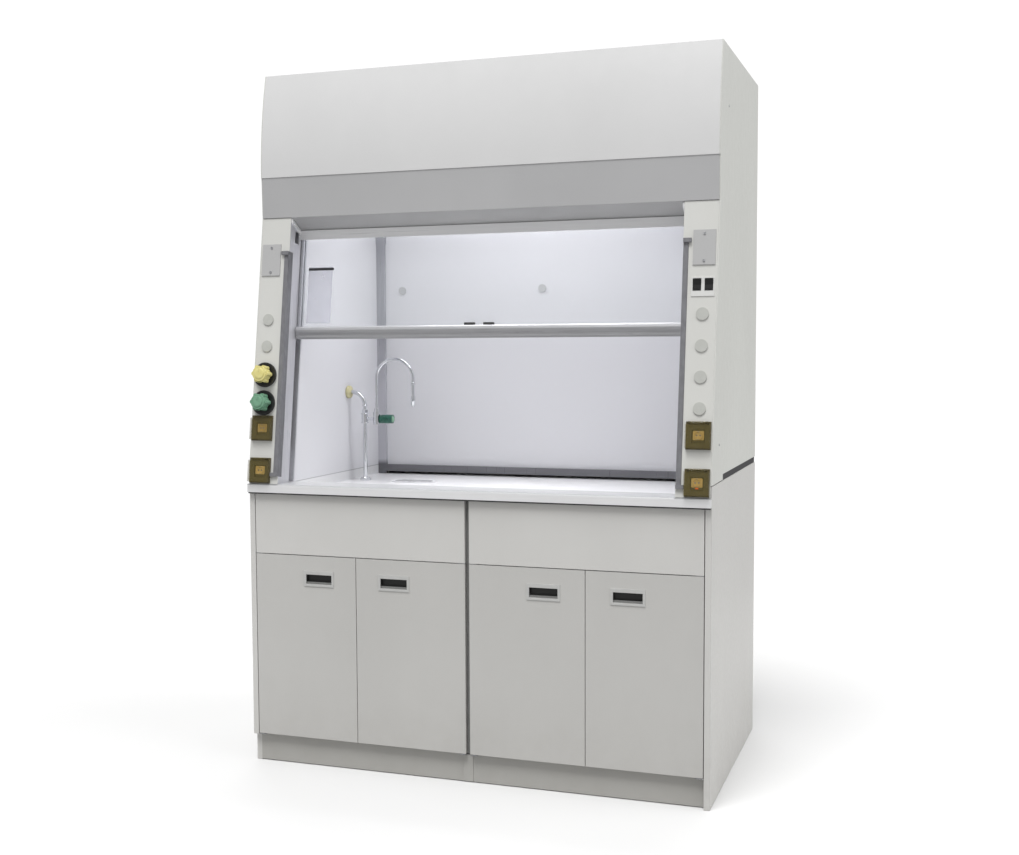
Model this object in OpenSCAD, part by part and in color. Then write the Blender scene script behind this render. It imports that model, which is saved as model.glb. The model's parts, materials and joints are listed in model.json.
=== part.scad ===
// Bench fume hood with a leaning front, a balanced sash and two base cabinets.
// Y is worked out from the cabinet fronts (y = 0, rear positive) and then moved so that the
// origin is the centre of the footprint on the floor. Z = 0 is the floor.

/* [Overall] */
// Width over the side skins
hood_w = 1500; // [1480:10:1600]
// Depth from the cabinet fronts to the back
hood_d = 870; // [860:5:890]
// Height of the roof above the floor
roof_z = 2240; // [2240:5:2260]
// Thickness of the sheet metal
sheet = 3; // [2.5:0.5:3]

/* [Base] */
// Height of the toe space
toe_h = 92; // [92:1:100]
// How far the toe kick stands back
toe_recess = 20; // [15:1:24]
// Height of the worktop's underside
bench_z = 888; // [886:1:890]
// Height of the apron's lower edge
apron_z = 690; // [680:1:700]
// Thickness of the doors
door_t = 18; // [16:1:18]
// Thickness of the base end panels
end_t = 18; // [18:1:20]
// Width of the gap between the two cabinets
centre_gap = 12; // [12:1:14]
// Height of the door pulls' centres
pull_z = 615; // [560:5:620]

/* [Worktop] */
// Thickness of the worktop's front edge
worktop_t = 27; // [25:1:30]
// How far the worktop overhangs the cabinets
overhang = 15; // [10:1:20]
// How far the working surface lies below the front sill
dish = 35; // [30:1:36]
// Depth of the raised front sill
sill_d = 100; // [95:1:105]

/* [Columns] */
// How far the front leans back
lean = 8.1; // [7.9:0.1:8.3]
// Half of the clear width between the sash tracks
clear_x = 645; // [640:1:646]
// Height of the top of the columns
column_z = 1775; // [1770:1:1780]

/* [Header] */
// Height of the header panel's lower lip
lip_z = 1905; // [1900:1:1915]
// Radius of the header panel's curve
header_r = 1390; // [1380:10:1450]

/* [Sash] */
// Height of the handle's underside at rest
sash_z = 1381; // [1375:1:1381]
// Length of the sash along its track
sash_len = 840; // [830:1:842]
// Height of the sash handle
handle_h = 41; // [38:1:44]
// Thickness of the glass
glass_t = 5; // [4:1:5]

/* [Drive] */
// Radius of the belt pulleys
pulley_r = 45; // [40:1:45]
// Width of the belts
belt_w = 15; // [12:1:15]
// Length of a counterweight
weight_len = 455; // [430:5:470]

/* [Duct] */
// Outer radius of the duct collar
collar_r = 125; // [100:1:125]
// Height of the collar above the roof
collar_h = 60; // [50:1:75]

/* [Fittings] */
// Heights of the outlets
outlet_z = [956, 1091]; // [950:1:1100]
// Heights of the round blank caps on the right column
cap_z = [1171, 1262, 1352, 1444]; // [1171:1:1450]
// Heights of the two control knobs on the left column
knob_z = [1175, 1265]; // [1170:1:1270]
// Distance of the tap from the cabinet fronts
tap_y = 520; // [500:5:540]

/* [Hidden] */
$fn = 48;

half_w = hood_w / 2;
inner_w = half_w - sheet;
end_x = half_w - end_t;
lip_x = half_w - 6;
fit = 0.05;

// The leaning plane of the column fronts
foot_y = -12;
function lean_y(z) = foot_y + (z - bench_z) * tan(lean);

// Worktop heights
sill_z = bench_z + worktop_t;
dish_z = sill_z - dish;
slab_z = dish_z - 18;
post_z = sill_z + 1;
seam_z = 948;
strip_h = 20;
strip_y = 190;

// Outlets, given first because the lowest cover is the foremost point of the hood
side_x = 708;
outlet_w = 73;
outlet_h = 76;
base_t = 6;
cover_d = 14;
cover_h = 70;
cover_gap = 0.3;
cover_wall = 2.5;
hinge_out = 10;
hinge_up = 40;
cover_front = base_t + cover_gap + cover_d;
front_reach = cover_front * cos(lean) + cover_h / 2 * sin(lean) - lean_y(outlet_z[0]);
front_y = front_reach - (hood_d + front_reach) / 2;

// Cabinets
cab_wall = 16;
board_gap = 0.2;
cab_front = 25;
rail_front = 20;
cab_back = hood_d - 8;
cab_in = centre_gap / 2;
cab_out = end_x - 1;
shelf_z = 398;

// Doors, hung on pins at their top and bottom edges
door_gap = 2;
door_z = [toe_h + 2, apron_z - 2.5];
door_mid = 375;
door_out = end_x - 2.5;
door_in = cab_in + 1;
pin_in = 12;
pin_y = 7;
pin_r = 4;
pin_len = 12;
pin_bore = 15;
pull_off = 130;
pull_w = 97;
pull_h = 42;
pull_d = 14;
bracket_t = 1.5;

// Sash track, measured from the lean plane inwards
track_x = clear_x + 30;
box_in = 26;
box_out = 75;
groove_end = 108;
track_lip = 113;
track_len = (roof_z - 12 - post_z) / cos(lean);
sash_front = 78;
sash_back = 104;
handle_mid = 70;
sash_base = sash_z + handle_mid * sin(lean);
sash_rest = (sash_base - post_z) / cos(lean);
sash_closed = 12;
glass_mid = 91;
stile_in = clear_x - 9;
stile_out = clear_x + 24;
handle_in = 62;
handle_out = 106;

// Belt drive, in the side cavities
belt_t = 2;
belt_off = glass_mid + 1;
belt_x = 690;
pulley_off = belt_off + 0.3 + pulley_r;
shaft_s = (2180 - post_z) / cos(lean);
idler_s = 72;
pulley_half = 9;
axle_r = 6;
shaft_r = 8;
clamp_s = 112;
clamp_h = 40;
weight_s = 130;
weight_mid = pulley_off + pulley_r + 1.3;
plate_x = 706;

// Rear of the chamber
baffle_y = 790;
baffle_t = 6;
baffle_top = 1810;
liner_t = 6;
ceiling_z = 2085;
ceiling_y = [290, 556];
duct_y = 715;
frame_w = 31.5;
frame_d = 15;

// Header
lip_y = 108;
header_x = inner_w;
band_y = 112;
lintel_y = 178;
lintel_z = 1737;
lintel_h = 30;

// Controls
blank_z = 1637.5;
blank_h = 103;
blank_w = 66;
cap_r = 18.5;
rocker_z = 1529;
rocker_x = [689.5, 724.5];
rocker_tilt = 8;
knob_x = 708;
knob_r = 30;
bezel_r = 40;
bezel_t = 8;

// Tap
pipe_x = -580;
riser_x = -533;
pipe_r = 7;
inlet_r = 8.5;
spout_r = 5.5;
arch_r = 70;
arch_z = 1242;
spout_end = 1168;
arm_z = 1100;
feed_z = 1195;
sink_l = 150;
sink_w = 76;
sink_depth = 110;
sink_x = riser_x + 2 * arch_r;

// ---- helpers

module hood(paint) color(paint) translate([0, front_y, 0]) children();

module both_sides() {
    children();
    mirror([1, 0, 0]) children();
}

module handed(side) {
    if (side == "left") mirror([1, 0, 0]) children();
    else children();
}

// A block between two corners, given as ranges along each axis
module block(x, y, z)
    translate([x[0], y[0], z[0]]) cube([x[1] - x[0], y[1] - y[0], z[1] - z[0]]);

// A YZ outline carried along X
module along_x(x) translate([x[0], 0, 0]) rotate([90, 0, 90]) linear_extrude(x[1] - x[0]) children();

module x_rod(r, x, y, z) translate([x[0], y, z]) rotate([0, 90, 0]) cylinder(r = r, h = x[1] - x[0]);

module y_rod(r, x, y, z) translate([x, y[0], z]) rotate([-90, 0, 0]) cylinder(r = r, h = y[1] - y[0]);

// Axes of the leaning front: X as before, Y into the hood, Z up along the front
module on_lean(z) translate([0, lean_y(z), z]) rotate([-lean, 0, 0]) children();

// A length with half-round ends, lying along X, Z up
module stadium(l, w, h) {
    for (s = [-1, 1]) translate([s * (l - w) / 2, 0, 0]) cylinder(d = w, h = h);
    translate([-(l - w) / 2, -w / 2, 0]) cube([l - w, w, h]);
}

// ---- base

// Floor, two sides, back and two front rails, as separate boards
module cabinet_box() {
    floor_top = toe_h + cab_wall;
    between = [cab_in + cab_wall + board_gap, cab_out - cab_wall - board_gap];
    block([cab_in, cab_out], [cab_front, cab_back], [toe_h, floor_top]);
    for (x = [cab_in, cab_out - cab_wall])
        block([x, x + cab_wall], [cab_front, cab_back], [floor_top + board_gap, slab_z]);
    block(between, [cab_back - cab_wall, cab_back], [floor_top + board_gap, slab_z]);
    for (z = [apron_z, slab_z - 40]) block(between, [rail_front, 40], [z, z + 40]);
}

module cabinets() hood("gainsboro") both_sides() cabinet_box();

module end_lip() block([lip_x, half_w], [0, hood_d], [bench_z, seam_z]);

module end_panels() hood("gainsboro") {
    block([end_x, half_w], [0, hood_d], [0, bench_z]);
    end_lip();
    mirror([1, 0, 0]) {
        difference() {
            block([end_x, half_w], [0, hood_d], [0, bench_z]);
            block([end_x - 1, half_w + 1], [-1, toe_recess], [-1, toe_h - 2]);
        }
        end_lip();
    }
}

module toe_kick() hood("gainsboro") {
    block([-end_x, -23], [toe_recess, toe_recess + 12], [2, toe_h - 4]);
    block([10, end_x], [toe_recess, toe_recess + 12], [2, toe_h - 4]);
    block([-23, 10], [toe_recess - 2, toe_recess + 14], [2, toe_h - 4]);
}

module levelling_feet() hood("dimgray") both_sides()
    for (x = [60, 680], y = [90, 800]) translate([x, y, 0]) {
        cylinder(r = 22, h = 10);
        cylinder(r = 6, h = toe_h);
    }

module aprons() hood("gainsboro") both_sides()
    block([door_in, door_out], [0, rail_front], [apron_z, bench_z]);

module gap_seals() hood("dimgray") {
    block([-cab_in, cab_in], [14, rail_front], [toe_h, bench_z]);
    block([-cab_in, cab_in], [rail_front, 30], [toe_h, slab_z]);
    both_sides() block([lip_x - 1, half_w - 2.5], [strip_y, hood_d - 4], [seam_z, seam_z + strip_h]);
}

module shelves() hood("gainsboro") both_sides()
    block([cab_in + cab_wall, cab_out - cab_wall], [200, cab_back - cab_wall], [shelf_z, shelf_z + 18]);

module hinge_bracket(x) {
    block([x - pin_in, x + pin_in], [1, cab_front + 35], [toe_h - bracket_t, toe_h]);
    translate([x, pin_y, toe_h - bracket_t]) cylinder(r = pin_r, h = bracket_t + 2 + pin_len);
    block([x - pin_in, x + pin_in], [1, cab_front - 1], [apron_z - bracket_t, apron_z]);
    translate([x, pin_y, door_z[1] - pin_len]) cylinder(r = pin_r, h = apron_z - door_z[1] + pin_len);
}

module hinge_brackets() hood("silver") both_sides() {
    hinge_bracket(door_in + pin_in);
    hinge_bracket(door_out - pin_in);
}

module pull_pocket(x)
    block([x - pull_w / 2 - 0.5, x + pull_w / 2 + 0.5], [-1, pull_d + 1],
        [pull_z - pull_h / 2 - 0.5, pull_z + pull_h / 2 + 0.5]);

// A door between x[0] and x[1], hung on pins at pin_x
module door(x, pin_x, pull_x) difference() {
    block(x, [0, door_t], door_z);
    pull_pocket(pull_x);
    translate([pin_x, pin_y, door_z[0] - 1]) cylinder(r = pin_r + fit, h = pin_bore + 1);
    translate([pin_x, pin_y, door_z[1] - pin_bore]) cylinder(r = pin_r + fit, h = pin_bore + 1);
}

module outer_door() door([door_mid + door_gap / 2, door_out], door_out - pin_in, door_mid + pull_off);
module inner_door() door([door_in, door_mid - door_gap / 2], door_in + pin_in, door_mid - pull_off);
module door_outer_left() hood("gainsboro") handed("left") outer_door();
module door_inner_left() hood("gainsboro") handed("left") inner_door();
module door_inner_right() hood("gainsboro") inner_door();
module door_outer_right() hood("gainsboro") outer_door();

// A cup pull: flange, body, deep finger recess and a lower lip
module cup_pull(x) translate([x, 0, pull_z]) difference() {
    union() {
        block([-52.5, 52.5], [-2, 0], [-25, 25]);
        block([-pull_w / 2, pull_w / 2], [-2, pull_d], [-pull_h / 2, pull_h / 2]);
    }
    block([-45, 45], [-3, 11.5], [-11, 13]);
    block([-45, 45], [-3, 3], [-18, -10]);
}

module pull_outer_left() hood("silver") handed("left") cup_pull(door_mid + pull_off);
module pull_inner_left() hood("silver") handed("left") cup_pull(door_mid - pull_off);
module pull_inner_right() hood("silver") cup_pull(door_mid - pull_off);
module pull_outer_right() hood("silver") cup_pull(door_mid + pull_off);

// ---- worktop

module worktop() hood("whitesmoke") difference() {
    union() {
        along_x([-clear_x, clear_x]) polygon([
            [-overhang, bench_z], [rail_front, bench_z], [rail_front, slab_z], [hood_d - 4, slab_z],
            [hood_d - 4, dish_z], [sill_d + 20, dish_z], [sill_d, sill_z], [-overhang + 3, sill_z],
            [-overhang, sill_z - 3]
        ]);
        both_sides() {
            block([clear_x, end_x - 1], [rail_front, hood_d - 4], [slab_z, bench_z]);
            block([clear_x, lip_x - 1], [0, hood_d - 4], [bench_z, sill_z]);
            block([clear_x, half_w], [-overhang, 0], [bench_z, sill_z]);
        }
    }
    translate([sink_x, tap_y, slab_z - 1]) stadium(sink_l + 1, sink_w + 1, 40);
    translate([pipe_x, tap_y, slab_z - 1]) cylinder(r = pipe_r + 1, h = 40);
}

module cup_sink() hood("lightgray") translate([sink_x, tap_y, dish_z]) difference() {
    union() {
        stadium(sink_l + 16, sink_w + 16, 3);
        translate([0, 0, -sink_depth]) stadium(sink_l, sink_w, sink_depth + 1);
        translate([0, 0, -sink_depth - 40]) cylinder(r = 20, h = 41);
    }
    translate([0, 0, -sink_depth + 4]) stadium(sink_l - 8, sink_w - 8, sink_depth);
    translate([0, 0, -sink_depth - 41]) cylinder(r = 17, h = 50);
}

// ---- columns and tracks

function s_at(z) = (z - post_z) / cos(lean);

module plug_hole(r, z) translate([side_x, -1, s_at(z)]) rotate([-90, 0, 0]) cylinder(r = r, h = sheet + 2);

module window(w, h, z, x = side_x)
    block([x - w / 2, x + w / 2], [-1, sheet + 1], [s_at(z) - h / 2, s_at(z) + h / 2]);

module column_blank() difference() {
    block([clear_x, inner_w - 0.2], [0, sheet], [0, s_at(column_z) - 1]);
    block([clear_x - 1, clear_x + 16.5], [-1, sheet + 1], [s_at(940), s_at(1665)]);
    for (z = outlet_z) window(56, 56, z);
    window(blank_w - 16, blank_h - 30, blank_z);
}

module columns() hood("gainsboro") {
    on_lean(post_z) difference() {
        column_blank();
        for (z = cap_z) plug_hole(17.5, z);
        window(66, 40, rocker_z, 707);
    }
    mirror([1, 0, 0]) on_lean(post_z) difference() {
        column_blank();
        for (z = [cap_z[2] + 6, cap_z[3]]) plug_hole(17.5, z);
        for (z = knob_z) plug_hole(20, z);
    }
}

module track_section() on_lean(post_z) {
    difference() {
        block([clear_x, track_x], [sheet, box_out], [0, track_len]);
        block([clear_x + 4, track_x - 4], [box_in + 4, box_out - 4], [-1, track_len + 1]);
        block([clear_x - 1, clear_x + 16.5], [sheet - 1, box_in], [s_at(940), s_at(1665)]);
        block([clear_x - 1, clear_x + 5], [34, 60], [s_at(1700), s_at(1738)]);
        block([clear_x + 4, track_x - 4], [sheet - 1, box_in + 5], [s_at(940), s_at(1665)]);
    }
    difference() {
        block([track_x - sheet, track_x], [box_out, groove_end], [0, track_len]);
        block([track_x - sheet - 1, track_x + 1], [box_out + 1, groove_end - 2],
            [sash_closed + clamp_s - 8, sash_rest + clamp_s + clamp_h + 8]);
    }
    block([clear_x, track_x], [groove_end, track_lip], [0, track_len]);
}

// Both tracks, cut level where they stand on the worktop
module sash_tracks() hood("lightgray") both_sides() difference() {
    track_section();
    block([clear_x - 1, track_x + 1], [-20, 200], [sill_z - 40, sill_z]);
}

module jamb_edges() hood("dimgray") both_sides() on_lean(post_z) {
    block([clear_x + 1, clear_x + 16], [-2, box_in], [s_at(940), s_at(1665)]);
    for (z = [940, 1653])
        block([clear_x + 1, clear_x + 25], [-8, 0], [s_at(z), s_at(z) + 12]);
}

// The header's front line, from the lip up
function header_y(z) = lip_y + header_r - sqrt(pow(header_r, 2) - pow(z - lip_z, 2));

module side_skins() hood("gainsboro") both_sides() along_x([inner_w, half_w]) polygon(concat(
    [[lean_y(seam_z + 3), seam_z + 3], [lean_y(column_z), column_z], [band_y - 1, lip_z], [lip_y, lip_z]],
    [for (i = [1:12]) let (z = lip_z + (roof_z - lip_z) * i / 12) [header_y(z), z]],
    [[hood_d, roof_z], [hood_d, seam_z + strip_h], [strip_y, seam_z + strip_h], [strip_y, seam_z + 3]]
));

module side_liners() hood("white") both_sides() along_x([clear_x, clear_x + liner_t]) polygon([
    [lean_y(sill_z) + track_lip + 2, sill_z], [hood_d - sheet, sill_z], [hood_d - sheet, roof_z - 4],
    [ceiling_y[1], roof_z - 4], [ceiling_y[1], ceiling_z], [lean_y(ceiling_z) + track_lip + 2, ceiling_z]
]);

// ---- rear of the chamber

module baffles() hood("white") along_x([-clear_x, clear_x]) {
    polygon([
        [baffle_y, dish_z + 12], [baffle_y + baffle_t, dish_z + 12], [baffle_y + baffle_t, baffle_top],
        [baffle_y, baffle_top]
    ]);
    polygon([
        [baffle_y, baffle_top + 12], [baffle_y + baffle_t, baffle_top + 14],
        [581, ceiling_z - 19], [575, ceiling_z - 23]
    ]);
}

module baffle_frame() hood("darkgray") {
    block([-clear_x + frame_w, clear_x - frame_w], [baffle_y - frame_d, baffle_y],
        [dish_z + 10, dish_z + 35]);
    both_sides() {
        block([clear_x - frame_w, clear_x], [baffle_y - frame_d, baffle_y], [dish_z, lintel_z]);
        block([clear_x - frame_w - 3, clear_x], [baffle_y - frame_d - 3, baffle_y], [lintel_z, 1802]);
    }
}

module back_panel() hood("gainsboro") {
    block([-inner_w, inner_w], [hood_d - sheet, hood_d], [seam_z + 2, roof_z - sheet]);
    block([-lip_x + 1, lip_x - 1], [hood_d - sheet, hood_d], [sill_z, seam_z + 2]);
    block([-clear_x, clear_x], [hood_d - sheet, hood_d], [dish_z - 10, sill_z]);
}

module roof_panel() hood("gainsboro") difference() {
    block([-inner_w, inner_w], [header_y(roof_z) + sheet + 0.5, hood_d], [roof_z - sheet, roof_z]);
    translate([0, duct_y, roof_z - sheet - 1]) cylinder(r = collar_r + 0.3, h = sheet + 2);
}

module duct_collar() hood("silver") translate([0, duct_y, 0]) difference() {
    union() {
        translate([0, 0, roof_z - 12]) cylinder(r = collar_r, h = collar_h + 12);
        translate([0, 0, roof_z]) cylinder(r = collar_r + 25, h = sheet);
    }
    translate([0, 0, roof_z - 13]) cylinder(r = collar_r - 2, h = collar_h + 14);
}

module ceiling_liner() hood("white") difference() {
    along_x([-clear_x, clear_x]) polygon([
        [ceiling_y[0], ceiling_z], [ceiling_y[1], ceiling_z], [ceiling_y[1], roof_z - sheet],
        [ceiling_y[1] - 6, roof_z - sheet], [ceiling_y[1] - 6, ceiling_z + 6], [ceiling_y[0], ceiling_z + 6]
    ]);
    block([-500, 500], [340, 480], [ceiling_z - 1, ceiling_z + 7]);
}

module lamp() hood("whitesmoke") {
    difference() {
        block([-520, 520], [330, 490], [ceiling_z + 10, ceiling_z + 60]);
        block([-510, 510], [338, 482], [ceiling_z + 9, ceiling_z + 52]);
    }
    x_rod(13, [-510, 510], 410, ceiling_z + 32);
}

module lamp_diffuser() hood("white") block([-520, 520], [330, 490], [ceiling_z + 6, ceiling_z + 10]);

// ---- header

module header_panel() hood("whitesmoke") along_x([-header_x, header_x]) {
    intersection() {
        translate([lip_y + header_r, lip_z]) difference() {
            circle(r = header_r, $fn = 720);
            circle(r = header_r - sheet, $fn = 720);
        }
        translate([lip_y - 1, lip_z]) square([60, roof_z - lip_z]);
    }
    translate([lip_y + 1, lip_z]) square([14, sheet]);
}

module header_band() hood("darkgray") {
    along_x([-header_x, header_x]) polygon([
        [band_y - 2.5, lip_z], [band_y, column_z], [band_y + sheet, column_z], [band_y + sheet - 2.5, lip_z]
    ]);
    along_x([-clear_x, clear_x]) polygon([
        [band_y, column_z], [lintel_y, lintel_z], [lintel_y, lintel_z + 3.5], [band_y + sheet, column_z + 2]
    ]);
}

module lintel() hood("lightgray") {
    block([-clear_x, clear_x], [lintel_y - 6, lintel_y], [lintel_z - lintel_h, lintel_z]);
    both_sides() along_x([clear_x - 6, clear_x]) polygon([
        [band_y + 4, column_z - 4], [lintel_y - 6, lintel_z - 2], [lintel_y - 6, lintel_z - 14],
        [band_y + 4, column_z - 16]
    ]);
}

// ---- sash, drawn where it rests

module sash_frame() hood("lightgray") on_lean(sash_base) difference() {
    union() {
        both_sides() {
            block([stile_in, stile_out], [sash_front, sash_back], [handle_h, sash_len]);
            block([clear_x - 2, stile_out], [sash_front, sash_back], [5, handle_h]);
        }
        block([-stile_in, stile_in], [sash_front, sash_back], [sash_len - 30, sash_len]);
    }
    block([-clear_x, clear_x], [glass_mid - glass_t / 2, glass_mid + glass_t / 2],
        [handle_h - 1, sash_len - 20]);
}

module sash_handle() hood("gray") on_lean(sash_base) difference() {
    along_x([-clear_x + 2, clear_x - 2]) polygon([
        [handle_in + 12, 0], [handle_out, 4.5], [handle_out, handle_h], [handle_in + 8, handle_h],
        [handle_in + 2, handle_h - 5], [handle_in, handle_h - 13], [handle_in + 2, handle_h - 20],
        [handle_in + 8, 14], [handle_in + 8, 6]
    ]);
    block([-clear_x, clear_x], [glass_mid - glass_t / 2, glass_mid + glass_t / 2], [handle_h - 8, handle_h + 1]);
}

module sash_glass() hood("aliceblue") on_lean(sash_base) block([-clear_x + 2, clear_x - 2],
    [glass_mid - glass_t / 2, glass_mid + glass_t / 2], [handle_h - 8, sash_len - 20]);

module sash_grips() hood("dimgray") on_lean(sash_base)
    for (x = [-39, 25]) translate([x, handle_in + 15, handle_h]) stadium(37, 12, 8);

module belt_clamps() hood("silver") both_sides() on_lean(sash_base) difference() {
    block([stile_out, 702], [80, 102], [clamp_s, clamp_s + clamp_h]);
    block([belt_x - 10, 703], [belt_off - belt_t - 0.4, belt_off + 0.4], [clamp_s - 1, clamp_s + clamp_h + 1]);
}

// ---- belt drive

// Outline of the belt loop's run round both pulleys, at distance r from their centres
module loop_outline(r) {
    translate([pulley_off - r, idler_s]) square([2 * r, shaft_s - idler_s]);
    for (s = [idler_s, shaft_s]) translate([pulley_off, s]) circle(r = r, $fn = 96);
}

module drive_belts() hood("black") both_sides() on_lean(post_z)
    along_x([belt_x - belt_w / 2, belt_x + belt_w / 2]) difference() {
        loop_outline(pulley_r + 0.3 + belt_t);
        loop_outline(pulley_r + 0.3);
    }

module counterweights() hood("dimgray") both_sides() on_lean(post_z) difference() {
    block([660, 735], [weight_mid - 25.5, weight_mid + 25.5], [weight_s, weight_s + weight_len]);
    block([belt_x - 9, belt_x + 9], [weight_mid - 2.5, weight_mid + 2.5], [weight_s - 1, weight_s + weight_len + 1]);
}

// A flanged pulley about X, centred on the belt
module pulley() {
    x_rod(pulley_r, [belt_x - pulley_half, belt_x + pulley_half], 0, 0);
    for (x = [belt_x - pulley_half, belt_x + pulley_half - 1])
        x_rod(pulley_r + 4, [x, x + 1], 0, 0);
}

module drive_shaft() hood("silver") on_lean(post_z) translate([0, pulley_off, shaft_s]) {
    x_rod(shaft_r, [-plate_x - 8, plate_x + 8], 0, 0);
    both_sides() pulley();
}

module idlers() hood("silver") both_sides() on_lean(post_z) translate([0, pulley_off, idler_s]) difference() {
    pulley();
    x_rod(axle_r + fit, [belt_x - 20, belt_x + 20], 0, 0);
}

// Mounting plates with the idlers' axles and the shaft's bearing holes
module drive_plates() hood("darkgray") both_sides() on_lean(post_z) {
    difference() {
        block([plate_x, plate_x + sheet], [pulley_off - 15, pulley_off + 13], [idler_s - 25, shaft_s + 25]);
        x_rod(shaft_r + fit, [plate_x - 1, plate_x + sheet + 1], pulley_off, shaft_s);
    }
    for (s = [180, 700, 1150])
        block([plate_x + sheet, inner_w - 0.2], [pulley_off - 12, pulley_off + 8], [s, s + 30]);
    x_rod(axle_r, [belt_x - 14, plate_x], pulley_off, idler_s);
    x_rod(axle_r + 3, [belt_x - 16, belt_x - 13], pulley_off, idler_s);
}

// ---- fittings on the columns

module cap(z) translate([side_x, 0, s_at(z)]) rotate([-90, 0, 0]) {
    translate([0, 0, -3.5]) cylinder(r = cap_r, h = 3.5);
    cylinder(r = 17.3, h = 9);
}

module blank_plate() block([side_x - blank_w / 2, side_x + blank_w / 2], [-3, 0],
    [s_at(blank_z) - blank_h / 2, s_at(blank_z) + blank_h / 2]);

module blank_covers() hood("lightgray") {
    on_lean(post_z) {
        for (z = cap_z) cap(z);
        blank_plate();
    }
    mirror([1, 0, 0]) on_lean(post_z) {
        for (z = [cap_z[2] + 6, cap_z[3]]) cap(z);
        blank_plate();
    }
    for (x = [-545, 0, 545]) y_rod(14, x, [baffle_y - 6, baffle_y], 1563);
}

module screw_head(r) rotate([-90, 0, 0]) difference() {
    translate([0, 0, -1.6]) cylinder(r = r, h = 1.6);
    translate([-r - 1, -0.5, -2]) cube([2 * r + 2, 1, 1]);
}

module screws() hood("silver") both_sides() {
    on_lean(post_z) for (s = [-40, 40]) translate([side_x, -3, s_at(blank_z) + s]) screw_head(4);
    for (p = [[118, 1061], [254, 2066]]) translate([half_w, p[0], p[1]]) rotate([0, 0, 90]) screw_head(3.5);
}

// Black rings behind the knobs, and the plate and cheeks that carry the rockers
module control_bezels() hood("black") {
    mirror([1, 0, 0]) on_lean(post_z) for (z = knob_z) translate([knob_x, 0, s_at(z)]) rotate([90, 0, 0])
        difference() {
            union() {
                cylinder(r = bezel_r, h = bezel_t);
                translate([0, 0, -6]) cylinder(r = 19.5, h = 6);
            }
            translate([0, 0, bezel_t - 3]) cylinder(r = bezel_r - 6, h = 4);
            translate([0, 0, -7]) cylinder(r = 6 + fit, h = bezel_t + 8);
        }
    on_lean(post_z) difference() {
        union() {
            block([673, 741], [-2, 0], [s_at(1495), s_at(1551)]);
            block([675, 739], [0, 12], [s_at(rocker_z) - 19.5, s_at(rocker_z) + 19.5]);
        }
        for (x = rocker_x)
            block([x - 12.5, x + 12.5], [-3, 13], [s_at(rocker_z) - 18.3, s_at(rocker_z) + 18.3]);
        x_rod(1.5 + fit, [674, 740], 4, s_at(rocker_z));
    }
}

module rocker(x) on_lean(post_z) translate([x, 4, s_at(rocker_z)]) rotate([rocker_tilt, 0, 0]) {
    along_x([-12, 12]) polygon([
        [-9, -16.5], [-6.5, 0], [-9, 16.5], [-1, 15], [5, 6], [5, -6], [-1, -15]
    ]);
    x_rod(1.5, [-13.5, 13.5], 0, 0);
}

module rocker_fan() hood("black") rocker(rocker_x[0]);
module rocker_light() hood("black") rocker(rocker_x[1]);

// Splash-proof outlet: plate, back box, recess, hinge ears and pin
module outlet_base(z) translate([side_x, 0, s_at(z)]) {
    difference() {
        union() {
            block([-outlet_w / 2, outlet_w / 2], [-base_t, 0], [-outlet_h / 2, hinge_up + 3]);
            block([-27, 27], [0, 38], [-27, 27]);
        }
        block([-20, 20], [-base_t - 1, 4], [-20, 20]);
    }
    block([-16, 16], [-2, 5], [-16, 16]);
    for (s = [-1, 1])
        block([s * 26 - 3, s * 26 + 3], [-hinge_out - 3, -base_t], [outlet_h / 2, hinge_up + 3]);
    x_rod(2, [-28, 28], -hinge_out, hinge_up);
}

module outlet_bases() hood("saddlebrown") both_sides() on_lean(post_z) for (z = outlet_z) outlet_base(z);

// Flip cover, a shallow tray open at the back with a hinge barrel above it
module outlet_cover(z) on_lean(post_z) translate([side_x, 0, s_at(z)]) difference() {
    union() {
        difference() {
            block([-outlet_w / 2, outlet_w / 2], [-cover_front, -base_t - cover_gap], [-cover_h / 2, cover_h / 2]);
            block([-outlet_w / 2 + cover_wall, outlet_w / 2 - cover_wall],
                [-cover_front + cover_wall, 0], [-cover_h / 2 + cover_wall, cover_h / 2 - cover_wall]);
        }
        x_rod(3.6, [-22, 22], -hinge_out, hinge_up);
        block([-22, 22], [-hinge_out - 3, -hinge_out + 2], [cover_h / 2 - 1, hinge_up - 1]);
    }
    x_rod(2 + fit, [-23, 23], -hinge_out, hinge_up);
}

module cover_lower_left() hood("peru") handed("left") outlet_cover(outlet_z[0]);
module cover_upper_left() hood("peru") handed("left") outlet_cover(outlet_z[1]);
module cover_lower_right() hood("peru") outlet_cover(outlet_z[0]);
module cover_upper_right() hood("peru") outlet_cover(outlet_z[1]);

// Lobed knob on a stem that runs in its bezel
module knob(z) mirror([1, 0, 0]) on_lean(post_z) translate([knob_x, 0, s_at(z)]) rotate([90, 0, 0]) {
    translate([0, 0, -7]) cylinder(r = 6, h = bezel_t + 12);
    translate([0, 0, bezel_t + 2]) cylinder(r = knob_r - 6, h = 34);
    for (a = [0:60:300]) rotate(a) translate([knob_r - 7, 0, bezel_t + 2]) cylinder(r = 7, h = 30);
}

module knob_gas() hood("khaki") knob(knob_z[1]);
module knob_water() hood("seagreen") knob(knob_z[0]);

// Valves behind the knobs, their riser and the thin feed to the wall flange
module service_valves() hood("peru") mirror([1, 0, 0]) {
    on_lean(post_z) {
        for (z = knob_z) translate([knob_x, 0, s_at(z)]) rotate([-90, 0, 0])
            translate([0, 0, 8]) cylinder(r = 15, h = 50);
        translate([knob_x, 45, 8]) cylinder(r = 6, h = s_at(knob_z[1]) - 8);
    }
    x_rod(3, [knob_x, 744], lean_y(feed_z) + 45, feed_z);
    y_rod(3, 741, [lean_y(feed_z) + 42, tap_y + 3], feed_z);
    x_rod(3, [clear_x + liner_t, 744], tap_y, feed_z);
}

// ---- tap

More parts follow.
